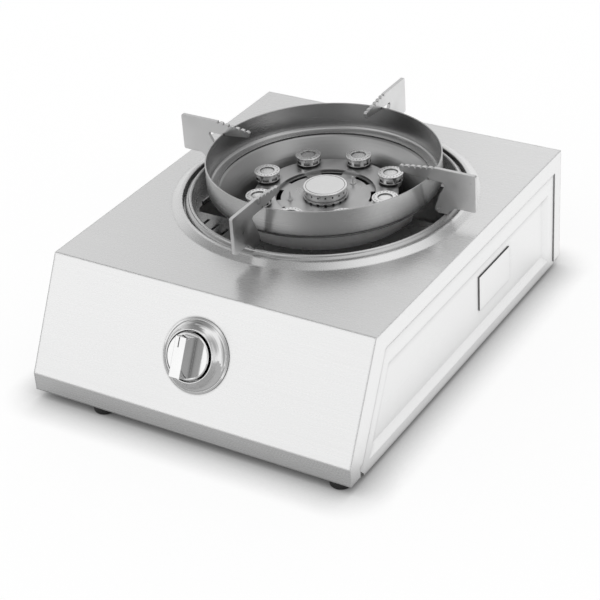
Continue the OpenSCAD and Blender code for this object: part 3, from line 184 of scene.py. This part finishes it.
def brushed_steel(slot, tone, roughness, stretch, across=None, contrast=0.03, depth=0.000006,
                  reach=0.002, power=1.5, edge=0.0005):
    """Steel with fine scratches, which spread a reflection at right angles to them, and painted shade
    where it is crowded in.

    stretch says how many streaks there are in a metre along each axis, and across is the
    direction at right angles to them. Without it they run round the object's upright axis.
    """
    quarter_turn = 0.25
    streak_share = 0.75
    made = Shader(slot, Metallic=1.0, Anisotropic=0.5)
    if across:
        sideways = made.node("ShaderNodeCombineXYZ", dict(zip("XYZ", across)))
        made.feed("Tangent", sideways.outputs["Vector"])
    else:
        made.feed("Anisotropic Rotation", quarter_turn)
    streaks = made.noise(stretch, detail=3)
    cloud = made.noise((9, 9, 9), detail=2)
    fine = made.math(
        "ADD", made.math("MULTIPLY", streaks, streak_share), made.math("MULTIPLY", cloud, 1 - streak_share)
    )
    bright = made.mix_colours(made.span(fine, 0, 1), grey(tone - contrast), grey(tone + contrast))
    painted_shade = grey(tone * brushed_shade_share)
    # Painted shade: the colour darkens towards painted_shade where the steel is crowded in
    made.feed("Base Color", made.mix_colours(made.crevice(reach, power), painted_shade, bright))
    made.feed("Roughness", made.span(streaks, roughness - 2 * contrast, roughness + 2 * contrast))
    made.bump(streaks, depth, edge)
    slots[slot] = made.material


def polished_steel(slot, tone, roughness, reach=0.004, power=1.0):
    """Bright steel with a trace of polishing marks, darkened with painted shade where it is crowded in."""
    tone_change = 0.04
    least_rough, most_rough = 0.7 * roughness, 1.3 * roughness
    made = Shader(slot, Metallic=1.0)
    cloud = made.noise((60, 60, 60))
    bright = made.mix_colours(cloud, grey(tone - tone_change), grey(tone + tone_change))
    painted_shade = grey(tone * polished_shade_share)
    # Painted shade: the colour darkens towards painted_shade where the steel is crowded in
    made.feed("Base Color", made.mix_colours(made.crevice(reach, power), painted_shade, bright))
    made.feed("Roughness", made.span(cloud, least_rough, most_rough))
    made.bump(cloud, polish_depth)
    slots[slot] = made.material


def two_sided_steel(slot):
    """Sheet round the burner's axis: dull towards the axis, with a dark colour as painted shade, and pale
    and matt on its outer side, with a light colour as painted light.
    """
    inner_low, inner_high, lit_outer_tone = 0.36, 0.42, 0.95
    inner_metal, outer_metal = 0.9, 0.15
    inner_rough, outer_rough = 0.3, 0.45
    edge_on = 0.2
    made = Shader(slot)
    from_axis = made.object_point(move=(-burner_x, -burner_y, 0))
    level = made.vector_math("MULTIPLY", "Vector", from_axis, (1, 1, 0))
    outward = made.vector_math("NORMALIZE", "Vector", level)
    facing = made.node("ShaderNodeNewGeometry").outputs["Normal"]
    turned = made.vector_math("DOT_PRODUCT", "Value", outward, facing)
    outer = made.span(turned, 0, 1, -edge_on, edge_on)
    cloud = made.noise((40, 40, 40))
    shaded_inner_side = made.mix_colours(cloud, grey(inner_low), grey(inner_high))
    # Painted light and shade: the colour is dark on the side towards the axis and pale on the outer side
    made.feed("Base Color", made.mix_colours(outer, shaded_inner_side, grey(lit_outer_tone)))
    made.feed("Metallic", made.span(outer, inner_metal, outer_metal, 0, 1))
    made.feed("Roughness", made.span(outer, inner_rough, outer_rough, 0, 1))
    made.bump(cloud, polish_depth)
    slots[slot] = made.material


def grained(slot, dark, light, roughness, grain, metallic=1.0):
    """Cast or drawn metal, rubber, plastic or ceramic with so many grains in a metre."""
    grain_depth = 0.0001
    roughness_change = 0.08
    made = Shader(slot, Metallic=metallic)
    speck = made.noise((grain, grain, grain), detail=5)
    made.feed("Base Color", made.mix_colours(made.span(speck, 0, 1), dark, light))
    made.feed("Roughness", made.span(speck, roughness - roughness_change, roughness + roughness_change))
    made.bump(speck, grain_depth)
    slots[slot] = made.material


def make_materials():
    """One material for each slot in the record.

    The first three rows give the streaks in a metre along each axis, where they run along X,
    along Y or round the burner's axis.
    """
    along_x = (6, 2600, 2600)
    along_y = (2600, 6, 2600)
    round_axis = (20, 20, 1600)
    # The reach and power given to a steel set how far and how deep its painted shade goes into crevices
    # and gaps
    brushed_steel("body_steel", 0.8, 0.28, along_x, (0, 1, 0.01), 0.018, 0.000003, edge=0.002)
    brushed_steel("panel_steel", 0.8, 0.3, along_y, (0, 0.01, 1), 0.015, 0.000003, 0.008, 3.0)
    brushed_steel("pan_steel", 0.6, 0.4, along_x, (0, 1, 0.01))
    brushed_steel("ring_steel", 0.5, 0.26, round_axis, contrast=0.008, depth=0.0000015)

    polished_steel("knob_chrome", 0.82, 0.1)
    polished_steel("deck_steel", 0.6, 0.35)
    polished_steel("head_steel", 0.85, 0.18, power=2.5)
    polished_steel("tray_steel", 0.66, 0.26, reach=0.03, power=1.2)
    polished_steel("blade_steel", 0.66, 0.36, reach=0.001)
    two_sided_steel("skirt_steel")

    grained("fixings", grey(0.4), grey(0.6), 0.35, 500)
    grained("pointer_mark", grey(0.1), grey(0.16), 0.5, 800)
    grained("bracket_steel", grey(0.4), grey(0.55), 0.4, 200)
    grained("spring_steel", grey(0.4), grey(0.5), 0.3, 500)
    grained("valve_alloy", grey(0.35), grey(0.48), 0.45, 600)
    grained("burner_iron", grey(0.05), grey(0.09), 0.6, 900)
    grained("brass", (0.6, 0.42, 0.16, 1), (0.75, 0.56, 0.25, 1), 0.3, 300)
    grained("copper_pipe", (0.6, 0.3, 0.18, 1), (0.75, 0.4, 0.25, 1), 0.3, 250)

    grained("foot_rubber", grey(0.012), grey(0.03), 0.6, 900, 0.0)
    grained("igniter_plastic", (0.7, 0.68, 0.6, 1), (0.76, 0.74, 0.66, 1), 0.45, 700, 0.0)
    grained("probe_ceramic", grey(0.7), grey(0.8), 0.4, 900, 0.0)
    grained("lead_sleeve", (0.2, 0.03, 0.02, 1), (0.3, 0.05, 0.04, 1), 0.6, 900, 0.0)


def dress_nodes():
    """Give each of the frame's nodes the material of its slot."""
    for row in frame["record"]["subparts"]:
        materials = nodes[row["node"]].data.materials
        materials.clear()
        materials.append(slots[row["material_slot"]])


def make_floor():
    """A white floor that keeps the object's shadow, with a painted contact shadow in its glow."""
    floor_size = 12
    floor_white, cloud_white = 0.9, 0.905
    seen_white = 0.3
    shadow_reach, shadow_power = 0.034, 1.6
    camera_glow = 0.79
    front_shaded_glow, back_glow = 0.3, 0.92
    front_fade = 0.04
    bpy.ops.mesh.primitive_plane_add(size=floor_size, location=(0, 0, 0))
    floor = bpy.context.object
    floor.name = "studio_floor"
    paint = Shader("studio_floor", Roughness=0.7, Specular_IOR_Level=0.0, Emission_Color=grey(1.0))
    white = paint.mix_colours(paint.noise((2, 2, 2)), grey(floor_white), grey(cloud_white))
    path = paint.node("ShaderNodeLightPath").outputs
    seen = paint.math("MAXIMUM", path["Is Camera Ray"], path["Is Glossy Ray"])
    seen = paint.math("MAXIMUM", seen, path["Is Transmission Ray"])
    paint.feed("Base Color", paint.mix_colours(seen, white, grey(seen_white)))
    # Reflections show the floor in front of the object grey, as a painted shade in its glow, and the rest
    # a little brighter
    across = paint.node("ShaderNodeSeparateXYZ", {"Vector": paint.object_point()}).outputs["Y"]
    mirrored = paint.span(across, front_shaded_glow, back_glow, front_y, front_y + front_fade)
    glow = paint.mix(path["Is Camera Ray"], mirrored, camera_glow)
    # Painted contact shadow: the floor's glow dims where the object crowds it in
    shade = paint.math("MULTIPLY", seen, paint.crevice(shadow_reach, shadow_power))
    paint.feed("Emission Strength", paint.math("MULTIPLY", glow, shade))
    floor.data.materials.append(paint.material)


# The studio's light in every direction, the least that a dark panel leaves, and the panels:
# azimuth from +Y towards +X, elevation, inner and outer half angle in degrees, and strength,
# which is below zero for a dark panel
base_light = 1.0
least_light = 0.02
panels = [
    (-146, 14, 2, 26, 0.15),
    (-48, 31, 12, 40, -0.25),
    (-24, 30, 1, 6, 0.4),
    (-45, 30, 1, 7, 0.3),
    (147, 32, 12, 40, -0.6),
    (45, 22, 15, 45, -0.55),
    (-95, 62, 8, 40, -0.7),
]


def make_studio_light():
    """White surroundings with soft bright and dark panels, which the camera itself sees as white."""
    world = bpy.data.worlds.new("studio")
    bpy.context.scene.world = world
    world.use_nodes = True
    wiring = Wiring(world.node_tree)
    direction = wiring.node("ShaderNodeTexCoord").outputs["Generated"]

    def panel(azimuth, elevation, inner, outer, strength):
        """Soft round panel: full strength within the inner angle, none past the outer one."""
        turn, rise = math.radians(azimuth), math.radians(elevation)
        aim = (math.sin(turn) * math.cos(rise), math.cos(turn) * math.cos(rise), math.sin(rise))
        near = wiring.vector_math("DOT_PRODUCT", "Value", direction, aim)
        rim, core = math.cos(math.radians(outer)), math.cos(math.radians(inner))
        return wiring.span(near, 0.0, strength, rim, core, interpolation_type="SMOOTHSTEP")

    total = base_light
    for row in panels:
        total = wiring.math("ADD", total, panel(*row))
    total = wiring.math("MAXIMUM", total, least_light)
    is_camera = wiring.node("ShaderNodeLightPath").outputs["Is Camera Ray"]
    background = wiring.tree.nodes["Background"].inputs
    wiring.set(background["Strength"], wiring.mix(is_camera, total, 1.0))
    wiring.set(background["Color"], grey(1.0))


make_camera()
bpy.context.scene.view_settings.view_transform = "Standard"
make_materials()
dress_nodes()
make_floor()
make_studio_light()
